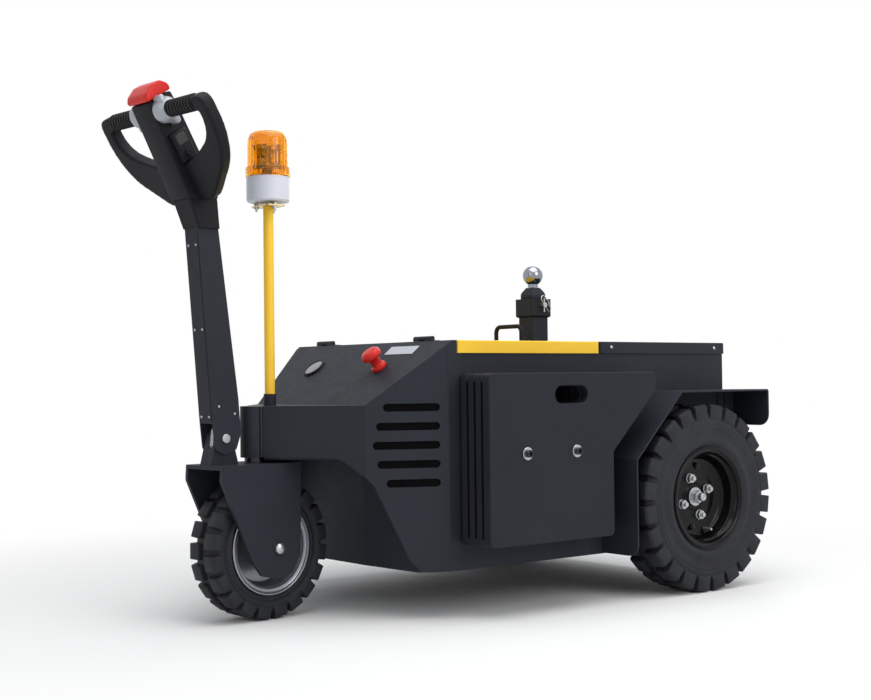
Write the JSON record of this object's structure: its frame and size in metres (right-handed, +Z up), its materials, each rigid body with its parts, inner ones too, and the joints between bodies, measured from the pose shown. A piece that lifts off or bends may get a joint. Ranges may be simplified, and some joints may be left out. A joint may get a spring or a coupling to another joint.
{
  "type": "pedestrian electric tow tractor",
  "caption": "Walk-behind electric tow tractor with a steered front wheel, tilting tiller, battery lid, ballast plates and a tow ball on a post.",
  "frame": {"origin": "on the floor below the middle of the machine's bounding box", "axes": "+X from the rear wheels towards the tiller, +Y to the machine's left, +Z up"},
  "size_m": [1.4171, 0.7838, 1.0515],
  "materials": {
    "body_black": "satin powder coat",
    "lid_yellow": "satin powder coat",
    "ballast_black": "satin paint",
    "tyre_black": "matte",
    "rim_black": "gloss paint",
    "rim_silver": "satin",
    "zinc": "zinc plated",
    "chrome": "polished",
    "plastic_black": "matte",
    "sleeve_black": "satin paint",
    "grip_rubber": "matte",
    "throttle_silver": "satin",
    "red_plastic": "gloss",
    "white_plastic": "satin",
    "amber_glass": "clear amber",
    "lamp_white": "gloss",
    "battery_case": "matte"
  },
  "bodies": {
    "chassis": {"body_tub": "body_black", "console": "body_black", "front_wall": "body_black", "head_tube": "body_black", "rear_cover": "body_black", "hinge_bases": "body_black", "battery": "battery_case", "rear_axle": "body_black", "ballast_left": "ballast_black", "ballast_right": "ballast_black", "ballast_bolts": "zinc", "fender_left": "body_black", "fender_right": "body_black", "hitch_post": "body_black", "hitch_sleeve": "sleeve_black", "ball_mount": "zinc", "tow_ball": "chrome", "hitch_pin": "zinc", "beacon_pole": "lid_yellow", "beacon_socket": "body_black", "beacon_bracket": "zinc", "beacon_base": "white_plastic", "beacon_dome": "amber_glass", "beacon_lamp": "lamp_white", "stop_button": "red_plastic", "battery_gauge": "plastic_black"},
    "battery_lid": {"front_lid": "lid_yellow", "hinge_leaves": "body_black", "lid_handle": "plastic_black"},
    "steering": {"steering_shaft": "zinc", "fork": "body_black", "front_axle": "zinc", "tiller_bracket": "body_black", "tiller_pivot": "zinc"},
    "tiller": {"tiller_arm": "body_black", "tiller_collar": "plastic_black", "tiller_head": "plastic_black", "handle_loops": "plastic_black", "grips": "grip_rubber", "throttles": "throttle_silver", "belly_button": "red_plastic", "key_panel": "plastic_black"},
    "front_wheel": {"front_rim": "rim_silver", "front_tyre": "tyre_black"},
    "rear_wheel_left": {"rear_rim_left": "rim_black", "rear_hub_left": "rim_black", "wheel_nuts_left": "zinc", "rear_tyre_left": "tyre_black"},
    "rear_wheel_right": {"rear_rim_right": "rim_black", "rear_hub_right": "rim_black", "wheel_nuts_right": "zinc", "rear_tyre_right": "tyre_black"}
  },
  "joints": [
    {"name": "steering", "type": "hinge", "parent": "chassis", "child": "steering", "pos_m": [0.4375, 0, 0.3], "axis": [0, 0, 1], "range_deg": [-75.8, 64.2]},
    {"name": "tiller_tilt", "type": "hinge", "parent": "steering", "child": "tiller", "pos_m": [0.52306, 0.00869, 0.365], "axis": [-0.1011, 0.9949, 0], "range_deg": [0, 75]},
    {"name": "front_wheel_spin", "type": "hinge", "parent": "steering", "child": "front_wheel", "pos_m": [0.42556, -0.00121, 0.144], "axis": [-0.1011, 0.9949, 0], "continuous": true},
    {"name": "rear_wheel_left_spin", "type": "hinge", "parent": "chassis", "child": "rear_wheel_left", "pos_m": [-0.4975, 0.338, 0.208], "axis": [0, 1, 0], "continuous": true},
    {"name": "rear_wheel_right_spin", "type": "hinge", "parent": "chassis", "child": "rear_wheel_right", "pos_m": [-0.4975, -0.338, 0.208], "axis": [0, 1, 0], "continuous": true},
    {"name": "lid_hinge", "type": "hinge", "parent": "chassis", "child": "battery_lid", "pos_m": [0.1405, 0, 0.5603], "axis": [0, 1, 0], "range_deg": [0, 90]}
  ]
}
